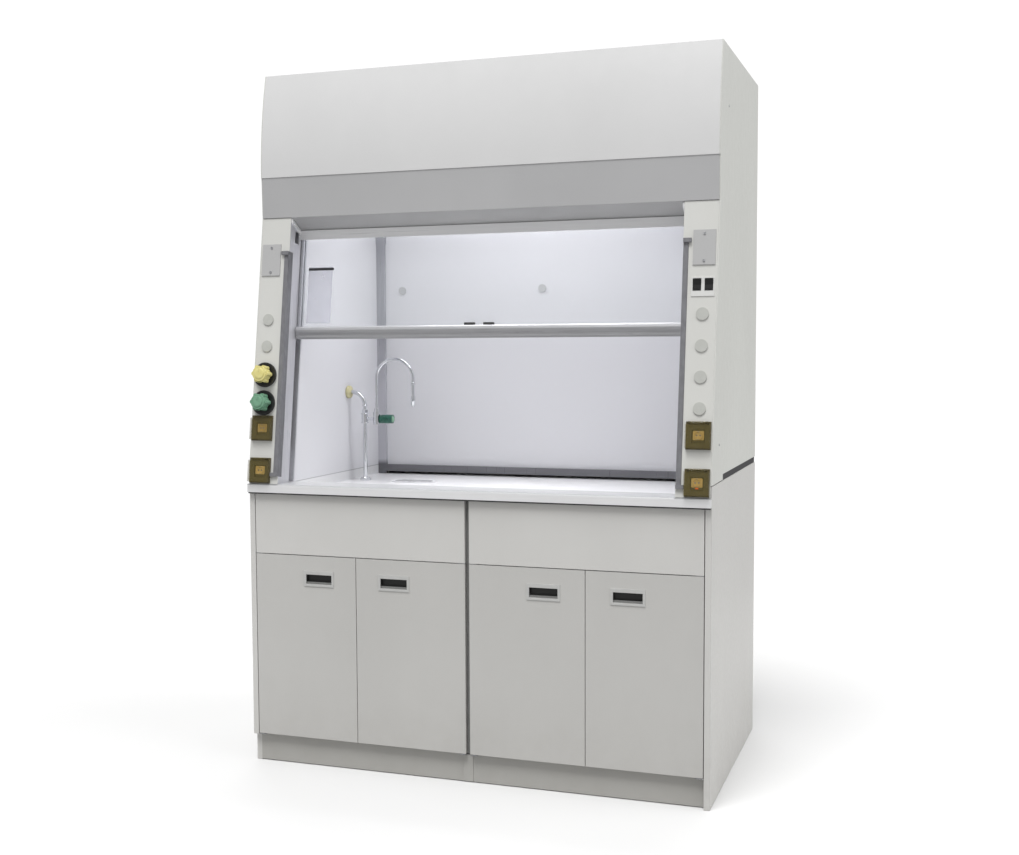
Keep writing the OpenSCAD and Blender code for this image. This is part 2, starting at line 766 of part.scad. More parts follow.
module tap_body() hood("silver") {
    difference() {
        union() {
            translate([pipe_x, tap_y, 810]) cylinder(r = pipe_r, h = feed_z - 50 - 810);
            translate([pipe_x, tap_y, 770]) cylinder(r = inlet_r, h = 50);
            translate([pipe_x, tap_y, dish_z]) cylinder(r = 20, h = 8);
            translate([pipe_x, tap_y, arm_z - 16]) cylinder(r = 12, h = 32);
            translate([pipe_x - 50, tap_y, feed_z - 50]) rotate([90, 0, 0])
                rotate_extrude(angle = 90) translate([50, 0]) circle(r = pipe_r, $fn = 32);
            x_rod(pipe_r, [-clear_x, pipe_x - 50], tap_y, feed_z);
            x_rod(19, [-clear_x, -clear_x + 9], tap_y, feed_z);
            x_rod(6, [pipe_x, riser_x], tap_y, arm_z);
            translate([riser_x, tap_y, arm_z - 20]) cylinder(r = 13, h = 45);
        }
        translate([riser_x, tap_y, arm_z + 10]) cylinder(r = spout_r + fit, h = 20);
        x_rod(4 + fit, [riser_x + 5, riser_x + 20], tap_y, arm_z);
    }
}

module tap_handle() hood("darkgreen") translate([riser_x, tap_y, arm_z]) difference() {
    union() {
        x_rod(4, [6, 20], 0, 0);
        x_rod(15.5, [16, 62], 0, 0);
    }
    for (a = [0:45:315]) rotate([a, 0, 0]) x_rod(3, [22, 63], 17, 0);
}

module tap_spout() hood("silver") translate([riser_x, tap_y, 0]) {
    translate([0, 0, arm_z + 12]) cylinder(r = spout_r, h = arch_z - arm_z - 12);
    translate([0, 0, arm_z + 25.3]) cylinder(r = 9, h = 12);
    translate([arch_r, 0, arch_z]) rotate([90, 0, 0])
        rotate_extrude(angle = 180) translate([arch_r, 0]) circle(r = spout_r, $fn = 32);
    translate([2 * arch_r, 0, spout_end]) cylinder(r = spout_r, h = arch_z - spout_end);
    translate([2 * arch_r, 0, spout_end]) cylinder(r = 7.5, h = 14);
}

cabinets();
end_panels();
toe_kick();
levelling_feet();
aprons();
gap_seals();
shelves();
hinge_brackets();
door_outer_left();
door_inner_left();
door_inner_right();
door_outer_right();
pull_outer_left();
pull_inner_left();
pull_inner_right();
pull_outer_right();
worktop();
cup_sink();
columns();
sash_tracks();
jamb_edges();
side_skins();
side_liners();
baffles();
baffle_frame();
back_panel();
roof_panel();
duct_collar();
ceiling_liner();
lamp();
lamp_diffuser();
header_panel();
header_band();
lintel();
sash_frame();
sash_handle();
sash_glass();
sash_grips();
belt_clamps();
drive_belts();
counterweights();
drive_shaft();
idlers();
drive_plates();
blank_covers();
screws();
control_bezels();
rocker_fan();
rocker_light();
outlet_bases();
cover_lower_left();
cover_upper_left();
cover_lower_right();
cover_upper_right();
knob_gas();
knob_water();
service_valves();
tap_body();
tap_handle();
tap_spout();
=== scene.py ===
import bpy
import bmesh
import json
import math
from mathutils import Matrix, Vector


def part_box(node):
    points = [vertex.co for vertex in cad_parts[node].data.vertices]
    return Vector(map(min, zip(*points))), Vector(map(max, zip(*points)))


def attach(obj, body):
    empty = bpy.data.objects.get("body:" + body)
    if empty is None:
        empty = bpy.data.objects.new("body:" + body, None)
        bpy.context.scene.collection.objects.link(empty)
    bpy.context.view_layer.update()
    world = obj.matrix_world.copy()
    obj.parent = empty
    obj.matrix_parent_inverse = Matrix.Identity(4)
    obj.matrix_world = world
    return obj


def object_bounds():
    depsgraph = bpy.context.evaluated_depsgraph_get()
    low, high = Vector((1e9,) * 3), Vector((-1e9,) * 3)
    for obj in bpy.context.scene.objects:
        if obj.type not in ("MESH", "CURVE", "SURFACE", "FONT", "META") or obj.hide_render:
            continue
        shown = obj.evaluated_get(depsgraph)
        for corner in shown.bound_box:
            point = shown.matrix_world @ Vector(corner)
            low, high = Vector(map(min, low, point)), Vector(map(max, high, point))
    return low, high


# Looks, small trim pieces, light and camera for the fume hood, around the CAD nodes of its frame.
# +Z is up, +X is to the right seen from the front, and the user stands on the -Y side.

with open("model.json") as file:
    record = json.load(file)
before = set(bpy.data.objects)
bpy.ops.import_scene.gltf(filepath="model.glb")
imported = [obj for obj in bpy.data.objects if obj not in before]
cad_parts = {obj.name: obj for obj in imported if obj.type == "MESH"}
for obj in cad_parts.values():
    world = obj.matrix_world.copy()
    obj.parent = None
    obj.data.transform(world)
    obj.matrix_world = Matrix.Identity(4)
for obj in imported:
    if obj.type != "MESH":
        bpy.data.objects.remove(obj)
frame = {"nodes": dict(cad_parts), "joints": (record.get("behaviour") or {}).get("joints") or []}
cad_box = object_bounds()
nodes = frame["nodes"]
joints = {j["name"]: j for j in frame["joints"]}
scene = bpy.context.scene
MM = 0.001
front_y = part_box("end_panels")[0].y
liner_x = 0.645  # half the width between the chamber's side liners
X = Vector((1, 0, 0))
Z = Vector((0, 0, 1))
# Along and out of the leaning front
up = Vector(joints["sash_slide"]["axis"]).normalized()
out = Vector((0, -up.z, up.y))


# ---------------------------------------------------------------- materials

def rgb(*c):
    """A colour given as 0-255 screen values, as linear RGBA."""
    lin = [((v / 255 + 0.055) / 1.055) ** 2.4 if v > 10 else v / 255 / 12.92 for v in c]
    return (*lin, 1.0)


class Look:
    """A Principled material that is built up in layers, with coordinates in metres."""

    def __init__(self, name, rough=0.5, metal=0.0, round_mm=0.0, **sockets):
        self.m = bpy.data.materials.new(name)
        self.m.use_nodes = True
        self.t = self.m.node_tree
        self.b = self.t.nodes["Principled BSDF"]
        self.b.inputs["Roughness"].default_value = rough
        self.b.inputs["Metallic"].default_value = metal
        for key, value in sockets.items():
            self.b.inputs[key.replace("_", " ")].default_value = value
        self.where = self.node("ShaderNodeTexCoord").outputs["Object"]
        self.normal = None
        self.colour = None
        if round_mm:
            bevel = self.node("ShaderNodeBevel", samples=4)
            bevel.inputs["Radius"].default_value = round_mm * MM
            self.set_normal(bevel.outputs["Normal"])

    def node(self, kind, **settings):
        n = self.t.nodes.new(kind)
        for key, value in settings.items():
            setattr(n, key, value)
        return n

    def link(self, a, b):
        self.t.links.new(a, b)

    def set_normal(self, socket):
        self.normal = socket
        self.link(socket, self.b.inputs["Normal"])

    def set_colour(self, socket):
        self.colour = socket
        self.link(socket, self.b.inputs["Base Color"])

    def noise(self, size_mm, stretch=(1, 1, 1), detail=3.0, seed=0.0):
        """Noise with features of about size_mm, longer along an axis by stretch."""
        mapping = self.node("ShaderNodeMapping")
        mapping.inputs["Scale"].default_value = [1 / s for s in stretch]
        mapping.inputs["Location"].default_value = (seed, seed * 0.7, seed * 1.3)
        self.link(self.where, mapping.inputs["Vector"])
        n = self.node("ShaderNodeTexNoise")
        n.inputs["Scale"].default_value = 1 / (size_mm * MM)
        n.inputs["Detail"].default_value = detail
        n.inputs["Roughness"].default_value = 0.55
        self.link(mapping.outputs["Vector"], n.inputs["Vector"])
        return n.outputs["Fac"]

    def ramp(self, factor, low, high, a=0.0, b=1.0, smooth=False):
        """Take the factor's range from low to high over to the range from a to b."""
        n = self.node("ShaderNodeMapRange", interpolation_type="SMOOTHSTEP" if smooth else "LINEAR")
        for key, value in (("From Min", low), ("From Max", high), ("To Min", a), ("To Max", b)):
            n.inputs[key].default_value = value
        self.link(factor, n.inputs["Value"])
        return n.outputs["Result"]

    def mix(self, factor, a, b):
        """Blend two colours, each a value or a socket. The node's colours are inputs 6 and 7 and output 2."""
        n = self.node("ShaderNodeMix", data_type="RGBA")
        self.link(factor, n.inputs["Factor"])
        for socket, value in ((n.inputs[6], a), (n.inputs[7], b)):
            if isinstance(value, tuple):
                socket.default_value = value
            else:
                self.link(value, socket)
        return n.outputs[2]

    def product(self, a, b):
        n = self.node("ShaderNodeMath", operation="MULTIPLY")
        self.link(a, n.inputs[0])
        self.link(b, n.inputs[1])
        return n.outputs[0]

    def tones(self, a, b, size_mm, stretch, low, high, detail=3.0):
        """The base colour, which drifts between two tones."""
        factor = self.ramp(self.noise(size_mm, stretch, detail=detail), low, high)
        self.set_colour(self.mix(factor, a, b))
        return self

    def over(self, colour, factor):
        """Lay a colour over the present one where factor is high."""
        self.set_colour(self.mix(factor, self.colour, colour))
        return self

    def gloss(self, low, high, size_mm, stretch=(1, 1, 1)):
        """Roughness that drifts from low to high."""
        factor = self.noise(size_mm, stretch, seed=3.0)
        self.link(self.ramp(factor, 0.3, 0.7, low, high), self.b.inputs["Roughness"])
        return self

    def bump(self, size_mm, depth_mm, stretch=(1, 1, 1), detail=2.0, seed=7.0):
        """Fine relief, laid over the normal the material already has."""
        n = self.node("ShaderNodeBump")
        n.inputs["Distance"].default_value = depth_mm * MM
        self.link(self.noise(size_mm, stretch, detail=detail, seed=seed), n.inputs["Height"])
        if self.normal:
            self.link(self.normal, n.inputs["Normal"])
        self.set_normal(n.outputs["Normal"])
        return self

    def edges(self, radius_mm, colour, amount):
        """A change of colour along sharp edges, broken up by noise."""
        bevel = self.node("ShaderNodeBevel", samples=4)
        bevel.inputs["Radius"].default_value = radius_mm * MM
        dot = self.node("ShaderNodeVectorMath", operation="DOT_PRODUCT")
        self.link(bevel.outputs["Normal"], dot.inputs[0])
        self.link(self.node("ShaderNodeNewGeometry").outputs["Normal"], dot.inputs[1])
        mask = self.ramp(dot.outputs["Value"], 0.995, 0.9, 0.0, amount)
        patchy = self.ramp(self.noise(18, seed=11.0), 0.35, 0.6, 0.35, 1.0)
        return self.over(colour, self.product(mask, patchy))

    def specks(self, size_mm, colour, low, high, amount):
        """Small spots where the noise is above low to high."""
        factor = self.ramp(self.noise(size_mm, detail=1.0, seed=21.0), low, high, 0.0, amount)
        return self.over(colour, factor)

    def beyond(self, axis, start_m, end_m, colour, amount=1.0):
        """A colour that takes over where the coordinate along an axis passes from start to end."""
        split = self.node("ShaderNodeSeparateXYZ")
        self.link(self.where, split.inputs[0])
        return self.over(colour, self.ramp(split.outputs[axis], start_m, end_m, 0.0, amount))

    def low_tint(self, top_m, colour, amount):
        """A tint that fades in towards the floor."""
        split = self.node("ShaderNodeSeparateXYZ")
        self.link(self.where, split.inputs[0])
        height = self.ramp(split.outputs["Z"], top_m, 0.0, 0.0, amount, smooth=True)
        cloud = self.ramp(self.noise(60, detail=5.0, seed=31.0), 0.3, 0.7, 0.4, 1.0)
        return self.over(colour, self.product(height, cloud))


def laminate(name, light, dark):
    """Faced board."""
    look = Look(name, rough=0.42, round_mm=1.0)
    look.tones(light, dark, 260, (1, 1, 2.2), 0.3, 0.7)
    look.specks(1.6, rgb(150, 149, 146), 0.66, 0.74, 0.22)
    look.edges(1.6, rgb(150, 148, 143), 0.35)
    # The boards turn darker towards the floor, in patches
    look.low_tint(0.35, rgb(150, 146, 138), 0.22)
    look.gloss(0.36, 0.5, 14)
    return look.bump(0.9, 0.012, detail=3.0).bump(160, 0.12, seed=17.0)


def powder(name, light, dark, edge=rgb(236, 236, 234)):
    """Powder-coated sheet."""
    look = Look(name, rough=0.36, round_mm=1.2)
    look.tones(light, dark, 420, (1, 1, 1.6), 0.3, 0.7)
    look.specks(0.9, rgb(140, 140, 140), 0.7, 0.76, 0.15)
    look.edges(1.8, edge, 0.35)
    look.gloss(0.31, 0.45, 30)
    return look.bump(1.7, 0.02).bump(260, 0.35, seed=17.0)


def extruded(name, light, dark, along, metal=0.85):
    """Anodised aluminium with fine die lines along one axis."""
    stretch = [1.0, 1.0, 1.0]
    stretch[along] = 60.0
    look = Look(name, rough=0.34, metal=metal, round_mm=0.7)
    look.tones(light, dark, 1.4, tuple(stretch), 0.35, 0.65)
    look.edges(1.0, rgb(232, 232, 234), 0.5)
    look.gloss(0.26, 0.44, 5, tuple(stretch))
    return look.bump(0.7, 0.006, tuple(stretch)).bump(90, 0.05, seed=17.0)


def brushed(name, light, dark, along, rough=0.3, metal=1.0):
    """Bare metal with a fine grain along one axis."""
    stretch = [1.0, 1.0, 1.0]
    stretch[along] = 30.0
    look = Look(name, rough=rough, metal=metal, round_mm=0.5)
    look.tones(light, dark, 0.6, tuple(stretch), 0.3, 0.7)
    look.gloss(rough - 0.1, rough + 0.12, 2.0, tuple(stretch))
    return look.bump(0.3, 0.004, tuple(stretch))


def moulded(name, light, dark, rough, **sockets):
    """Moulded plastic."""
    look = Look(name, rough=rough, round_mm=0.6, **sockets)
    look.tones(light, dark, 22, (1, 1, 1), 0.3, 0.7)
    look.specks(0.8, dark, 0.68, 0.75, 0.3)
    look.edges(0.8, light, 0.4)
    look.gloss(rough - 0.06, rough + 0.1, 5)
    return look.bump(0.5, 0.012)


def dark_rubber(name, light, dark):
    look = Look(name, rough=0.62, round_mm=0.5)
    look.tones(light, dark, 9, (1, 1, 3), 0.3, 0.7)
    look.specks(1.2, rgb(140, 140, 142), 0.68, 0.76, 0.35)
    look.edges(0.9, rgb(150, 150, 152), 0.4)
    return look.bump(0.8, 0.03, detail=4.0)


def glazed(name, light, dark):
    """Glazed ceramic."""
    look = Look(name, rough=0.3, round_mm=2.0, Coat_Weight=0.12, Coat_Roughness=0.15)
    look.tones(light, dark, 170, (1, 1, 1), 0.3, 0.7)
    look.specks(1.1, rgb(168, 167, 163), 0.7, 0.75, 0.35)
    look.gloss(0.28, 0.34, 45)
    return look.bump(300, 0.2, detail=0.0).bump(1.1, 0.006, seed=19.0)


def lined(name, light, dark):
    """Smooth liner board."""
    look = Look(name, rough=0.3, round_mm=0.8)
    look.tones(light, dark, 900, (1.4, 1, 2.6), 0.3, 0.7, detail=1.0)
    look.specks(1.1, rgb(196, 196, 206), 0.7, 0.78, 0.12)
    look.gloss(0.3, 0.34, 300)
    return look.bump(1.3, 0.006).bump(600, 0.3, seed=17.0, detail=0.0)


def cast(name):
    """Rough cast iron with a little rust."""
    look = Look(name, rough=0.7, metal=0.3, round_mm=1.5)
    look.tones(rgb(86, 86, 88), rgb(58, 58, 61), 26, (1, 1, 1), 0.3, 0.7)
    look.specks(3.0, rgb(112, 96, 82), 0.64, 0.72, 0.45)
    look.edges(2.5, rgb(128, 128, 130), 0.5)
    return look.bump(2.2, 0.18, detail=5.0)


def clear(name, colour, alpha, rough, **sockets):
    """A see-through sheet."""
    look = Look(name, rough=rough, Alpha=alpha, **sockets)
    shade = tuple(v * 0.93 for v in colour[:3]) + (1.0,)
    look.tones(colour, shade, 120, (1, 1, 1), 0.3, 0.7)
    look.gloss(rough * 0.7, rough * 1.5, 50)
    return look.bump(300, 0.15)


def belt_look():
    """Black belting with teeth across it."""
    look = Look("belt", rough=0.6, round_mm=0.3)
    look.tones(rgb(46, 46, 48), rgb(28, 28, 30), 6, (1, 1, 1), 0.3, 0.7)
    wave = look.node("ShaderNodeTexWave", wave_type="BANDS", bands_direction="Z")
    wave.inputs["Scale"].default_value = 62
    wave.inputs["Distortion"].default_value = 0
    look.link(look.where, wave.inputs["Vector"])
    n = look.node("ShaderNodeBump")
    n.inputs["Distance"].default_value = 0.6 * MM
    look.link(wave.outputs["Fac"], n.inputs["Height"])
    look.link(look.normal, n.inputs["Normal"])
    look.set_normal(n.outputs["Normal"])
    look.over(rgb(74, 74, 76), look.ramp(wave.outputs["Fac"], 0.6, 0.9, 0.0, 0.5))
    return look


def lit(name, colour, strength, rough=0.4):
    """A lens that glows."""
    look = Look(name, rough=rough, Emission_Strength=strength, Emission_Color=colour)
    look.tones(colour, tuple(v * 0.96 for v in colour[:3]) + (1.0,), 40, (4, 1, 1), 0.3, 0.7)
    return look.bump(1.2, 0.05, detail=1.0)


boards = laminate("board", rgb(205, 204, 201), rgb(201, 200, 197))
# Painted shade: the doors get a darker copy of the board because they sit low and catch less light
door_boards_shaded = laminate("door_board", rgb(192, 191, 188), rgb(188, 187, 184))
# Painted shade: the toe kick gets a darker copy of the board for the shade in its recess
kick_boards_shaded = laminate("kick_board", rgb(176, 175, 171), rgb(170, 169, 165))
boards_inside = laminate("board_inside", rgb(222, 222, 218), rgb(217, 217, 213))
coat = powder("coat", rgb(209, 209, 205), rgb(205, 205, 201))
side_coat = powder("side_coat", rgb(212, 213, 208), rgb(207, 208, 203))
roof_coat = powder("roof_coat", rgb(184, 185, 181), rgb(179, 180, 176))
header_coat = powder("header_coat", rgb(218, 218, 218), rgb(213, 213, 213))
band_coat = powder("band_coat", rgb(184, 184, 185), rgb(178, 178, 179), rgb(200, 200, 201))
stone = glazed("ceramic", rgb(224, 224, 225), rgb(219, 219, 220))
# Painted shade: the top of the raised front sill is painted greyer to hold back the strong light from above on it
stone.beyond("Z", 0.9118, 0.9124, rgb(172, 173, 174))
liner = lined("liner", rgb(217, 217, 220), rgb(213, 213, 217))
tracks = extruded("track_metal", rgb(208, 208, 212), rgb(196, 196, 201), 2, metal=0.4)
sash_metal = extruded("sash_metal", rgb(206, 207, 211), rgb(192, 193, 198), 2)
handle_metal = extruded("handle_metal", rgb(174, 174, 177), rgb(160, 160, 163), 0, metal=0.3)
lintel_metal = extruded("lintel_metal", rgb(242, 242, 243), rgb(236, 236, 238), 0, metal=0.1)
frame_metal = extruded("frame_metal", rgb(160, 160, 166), rgb(148, 148, 154), 2, metal=0.3)
# Painted light and shade: the uprights are painted paler downwards, where less of the lamp's light reaches them, and
# the rail at their foot is painted dark for the shadow it lies in
frame_metal.beyond("Z", 1.45, 1.2, rgb(192, 192, 198))
frame_metal.beyond("Z", 0.935, 0.916, rgb(96, 96, 100), 0.9)
jamb = dark_rubber("jamb_rubber", rgb(122, 122, 126), rgb(108, 108, 112))
rubber = dark_rubber("seal_rubber", rgb(60, 60, 60), rgb(46, 46, 46))
gap_rubber = dark_rubber("gap_rubber", rgb(126, 126, 125), rgb(112, 112, 111))
# Painted shadow: the strips on the sides are painted darker than the one between the cabinets, for the shadow in the
# gaps there
gap_rubber.beyond("X", 0.5, 0.6, rgb(44, 44, 46))
gap_rubber.beyond("X", -0.5, -0.6, rgb(44, 44, 46))
steel = brushed("steel", rgb(196, 197, 200), rgb(172, 173, 177), 0)
pull_steel = brushed("pull_steel", rgb(206, 206, 204), rgb(190, 190, 188), 0, 0.4, 0.35)
# Painted shade: the inside of the recessed pull is painted nearly black for the shade in the recess
pull_steel.beyond("Y", front_y + 0.0012, front_y + 0.004, rgb(26, 26, 26), 0.97)
zinc = brushed("zinc", rgb(190, 193, 197), rgb(164, 168, 172), 2, 0.38)
plate_grey = moulded("plate_grey", rgb(186, 187, 182), rgb(180, 181, 176), 0.42)
# The two blank plates are above the round caps
plate_grey.beyond("Z", 1.540, 1.545, rgb(178, 178, 178))
black = moulded("black", rgb(18, 18, 19), rgb(10, 10, 11), 0.5)
bezel = moulded("bezel", rgb(34, 34, 34), rgb(22, 22, 22), 0.38)
# The plate around the switches, on the right, is light
bezel.beyond("X", 0.0, 0.01, rgb(212, 212, 210))
brown = moulded("outlet_brown", rgb(84, 76, 46), rgb(70, 62, 36), 0.4)
tan = moulded("outlet_tan", rgb(252, 214, 132), rgb(244, 198, 108), 0.35)
amber = clear("amber", rgb(112, 100, 52), 0.26, 0.12, Coat_Weight=0.4, Coat_Roughness=0.05)
yellow = moulded("yellow", rgb(224, 215, 146), rgb(210, 199, 124), 0.3, Coat_Weight=0.3)
green = moulded("green", rgb(120, 164, 136), rgb(98, 143, 115), 0.3, Coat_Weight=0.3)
deep_green = moulded("deep_green", rgb(18, 92, 74), rgb(12, 74, 60), 0.26, Coat_Weight=0.4)
pale_yellow = moulded("pale_yellow", rgb(206, 200, 160), rgb(192, 184, 140), 0.4)
chrome = brushed("chrome", rgb(222, 223, 226), rgb(208, 210, 214), 2, 0.12)
brass = brushed("brass", rgb(206, 172, 104), rgb(184, 148, 80), 1, 0.28)
sink_grey = moulded("sink_grey", rgb(226, 226, 228), rgb(218, 218, 221), 0.3)
iron = cast("iron")
lamp_white = powder("lamp_white", rgb(236, 236, 236), rgb(231, 231, 231))
glass = clear("glass", rgb(226, 232, 236), 0.10, 0.03)
belt = belt_look()
diffuser = lit("diffuser", (0.97, 0.97, 1.0, 1.0), 1.2)
silicone = moulded("silicone", rgb(214, 214, 216), rgb(204, 204, 206), 0.35)
paper = clear("label_film", rgb(208, 209, 220), 0.35, 0.35)
ink = moulded("label_bar", rgb(48, 48, 52), rgb(38, 38, 42), 0.5)
glow = lit("pilot_lens", rgb(232, 96, 40), 0.6, 0.2)

LOOKS = {
    "cabinets": boards_inside, "end_panels": boards, "toe_kick": kick_boards_shaded, "aprons": boards,
    "shelves": boards_inside, "levelling_feet": rubber, "gap_seals": gap_rubber, "hinge_brackets": steel,
    "worktop": stone, "cup_sink": sink_grey, "columns": coat, "sash_tracks": tracks, "jamb_edges": jamb,
    "side_skins": side_coat, "side_liners": liner, "baffles": liner, "baffle_frame": frame_metal,
    "back_panel": side_coat, "roof_panel": roof_coat, "duct_collar": zinc, "ceiling_liner": liner,
    "lamp": lamp_white, "lamp_diffuser": diffuser, "header_panel": header_coat, "header_band": band_coat,
    "lintel": lintel_metal, "sash_frame": sash_metal, "sash_handle": handle_metal, "sash_glass": glass,
    "sash_grips": rubber, "belt_clamps": steel, "drive_belts": belt, "counterweights": iron,
    "drive_shaft": steel, "idlers": steel, "drive_plates": zinc, "blank_covers": plate_grey, "screws": steel,
    "control_bezels": bezel, "rocker_fan": black, "rocker_light": black, "outlet_bases": brown,
    "knob_gas": yellow, "knob_water": green, "service_valves": brass, "tap_body": chrome,
    "tap_handle": deep_green, "tap_spout": chrome,
}
for kind in ("outer", "inner"):
    for side in ("left", "right"):
        LOOKS[f"door_{kind}_{side}"] = door_boards_shaded
        LOOKS[f"pull_{kind}_{side}"] = pull_steel
for level in ("lower", "upper"):
    for side in ("left", "right"):
        LOOKS[f"cover_{level}_{side}"] = amber

for name, obj in nodes.items():
    obj.data.materials.clear()
    obj.data.materials.append(LOOKS[name].m)


# ---------------------------------------------------------------- pieces

def piece(name, bm, look, body, smooth=False):
    """A trim piece that rides on a body and belongs to one of the part's material slots."""
    mesh = bpy.data.meshes.new(name)
    bmesh.ops.recalc_face_normals(bm, faces=bm.faces)
    bm.to_mesh(mesh)
    bm.free()
    mesh.materials.append(look.m)
    for poly in mesh.polygons:
        poly.use_smooth = smooth
    obj = bpy.data.objects.new(name, mesh)
    scene.collection.objects.link(obj)
    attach(obj, body)
    return obj


def axes(origin, x, y, z):
    """A matrix that puts local axes x, y and z at origin."""
    m = Matrix.Identity(4)
    for i, a in enumerate((x, y, z)):
        m.col[i][:3] = a
    m.col[3][:3] = origin
    return m


def lathe(bm, profile, at, axis, segs=40):
    """A turned form: profile is (radius, height) along the axis, in mm, closed at the axis if radius is 0."""
    axis = Vector(axis).normalized()
    side = axis.orthogonal().normalized()
    other = axis.cross(side)
    rings = []
    for r, h in profile:
        base = Vector(at) + axis * (h * MM)
        if r == 0:
            rings.append([bm.verts.new(base)])
            continue
        rings.append([bm.verts.new(base + (side * math.cos(a) + other * math.sin(a)) * (r * MM))
                      for a in [2 * math.pi * i / segs for i in range(segs)]])
    for a, b in zip(rings, rings[1:]):
        for i in range(segs):
            j = (i + 1) % segs
            if len(a) == 1:
                bm.faces.new((a[0], b[i], b[j]))
            elif len(b) == 1:
                bm.faces.new((a[i], a[j], b[0]))
            else:
                bm.faces.new((a[i], a[j], b[j], b[i]))


def rounded(w, h, r):
    """A rounded rectangle's outline in mm."""
    steps = 6
    points = []
    for cx, cy, start in ((w / 2 - r, h / 2 - r, 0), (-w / 2 + r, h / 2 - r, 90), (-w / 2 + r, -h / 2 + r, 180),
                          (w / 2 - r, -h / 2 + r, 270)):
        for i in range(steps + 1):
            a = math.radians(start + 90 * i / steps)
            points.append((cx + r * math.cos(a), cy + r * math.sin(a)))
    return points


def prism(bm, outline, m, low, high, chamfer):
    """An outline in mm raised from low to high along local z, with its top edge chamfered."""
    def ring(z, inset):
        points = []
        n = len(outline)
        for i in range(n):
            p, q, s = Vector(outline[i - 1]), Vector(outline[i]), Vector(outline[(i + 1) % n])
            d = ((q - p).normalized() + (s - q).normalized())
            normal = Vector((d.y, -d.x)).normalized()
            v = q - normal * inset
            points.append(bm.verts.new(m @ Vector((v.x * MM, v.y * MM, z * MM))))
        return points
    rings = [ring(low, 0), ring(high - chamfer, 0), ring(high, chamfer)]
    for a, b in zip(rings, rings[1:]):
        for i in range(len(a)):
            j = (i + 1) % len(a)
            bm.faces.new((a[i], a[j], b[j], b[i]))
    bm.faces.new(list(reversed(rings[0])))
    bm.faces.new(rings[-1])


def sweep(bm, start, end):
    """A bar between two copies of a section, each given as its points."""
    a, b = ([bm.verts.new(point) for point in points] for points in (start, end))
    for i in range(len(a)):
        j = (i + 1) % len(a)
        bm.faces.new((a[i], a[j], b[j], b[i]))
    bm.faces.new(a)
    bm.faces.new(list(reversed(b)))


def block(bm, m, x, y, z, chamfer):
    """A box in mm with its top edge chamfered, from its extents along local x, y and z."""
    w, h = x[1] - x[0], y[1] - y[0]
    shift = m @ Matrix.Translation(Vector(((x[0] + x[1]) / 2 * MM, (y[0] + y[1]) / 2 * MM, 0)))
    prism(bm, [(-w / 2, -h / 2), (w / 2, -h / 2), (w / 2, h / 2), (-w / 2, h / 2)], shift, z[0], z[1], chamfer)


# Receptacle faces behind the flip covers
def outlet_frame(node):
    """Axes on the leaning front at the middle of a cover's outlet."""
    hinge = next(j for j in frame["joints"] if j["child"] == node)
    centre = Vector(hinge["pos_m"]) - out * 0.010 - up * 0.040
    return axes(centre, X, up, out)


faces, sockets, lens = bmesh.new(), bmesh.new(), bmesh.new()
for level in ("lower", "upper"):
    for side in ("left", "right"):
        m = outlet_frame(f"cover_{level}_{side}")
        m = m @ Matrix.Translation(Vector((0, 3 * MM, 0)))
        prism(faces, rounded(33, 27, 3.5), m, 2.05, 3.4, 0.5)
        lathe(faces, [(12.6, 3.4), (12.6, 5.0), (12.0, 5.6), (11.0, 5.6), (10.6, 5.0), (10.6, 3.45), (0, 3.45)],
              m.translation, out)
        for x in (-5.2, 5.2):
            lathe(sockets, [(2.5, 3.5), (2.5, 3.75), (1.9, 3.85), (0, 3.8)], m @ Vector((x * MM, 0, 0)), out, 20)
        for y in (-11.0, 11.0):
            block(sockets, m, (-2.0, 2.0), (y - 0.8, y + 0.8), (5.0, 6.2), 0.3)
        if level == "lower" and side == "right":
            prism(lens, rounded(9, 4, 1.2), m @ Matrix.Translation(Vector((0, -0.0165, 0))), 2.05, 4.4, 0.6)
piece("receptacle_faces", faces, tan, "hood")
piece("receptacle_contacts", sockets, steel, "hood")
piece("pilot_lens", lens, glow, "hood")

# Information film on the sash, left plain apart from its heading bar
glass_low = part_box("sash_glass")[0]
glass_foot = Vector((glass_low.x, glass_low.y, glass_low.z + 0.005 * up.y))


def on_glass(x, z):
    """A point on the glass's front face at the given place across and height."""
    s = (z - glass_foot.z) / up.z
    return Vector((x, glass_foot.y, glass_foot.z)) + up * s


film, bar = bmesh.new(), bmesh.new()
film_height, bar_height = 1.5245, 1.610
m = axes(on_glass(glass_low.x + 0.069, film_height), X, up, out)
prism(film, rounded(88, 187, 4), m, 0.05, 0.3, 0.05)
m = axes(on_glass(glass_low.x + 0.071, bar_height), X, up, out)
prism(bar, rounded(92, 8.5, 1.2), m, 0.3, 0.55, 0.05)
piece("sash_film", film, paper, "sash")
piece("sash_film_bar", bar, ink, "sash")

# Tap: barbed nozzle, collars, wall flange and handle cap
spout_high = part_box("tap_spout")[1]
riser = Vector(joints["spout_swivel"]["pos_m"])
bm = bmesh.new()
mouth_drop = 0.1495
nozzle = Vector((spout_high.x - 0.0075, riser.y, spout_high.z - mouth_drop))
lathe(bm, [(0, -0.2), (4.2, -0.2), (5.4, -2.0), (6.6, -6.5), (5.4, -7.0), (7.0, -12.5), (5.6, -13.0), (7.2, -18.0),
           (5.2, -18.6), (4.6, -24.0), (3.4, -24.4), (3.4, -10), (0, -10)], nozzle + Z * 0.0002, Z, 28)
lathe(bm, [(5.6, 54), (7.4, 54.4), (7.8, 56), (7.8, 60), (7.4, 61.6), (5.6, 62)], nozzle, Z, 28)
piece("spout_nozzle", bm, chrome, "tap_spout", True)

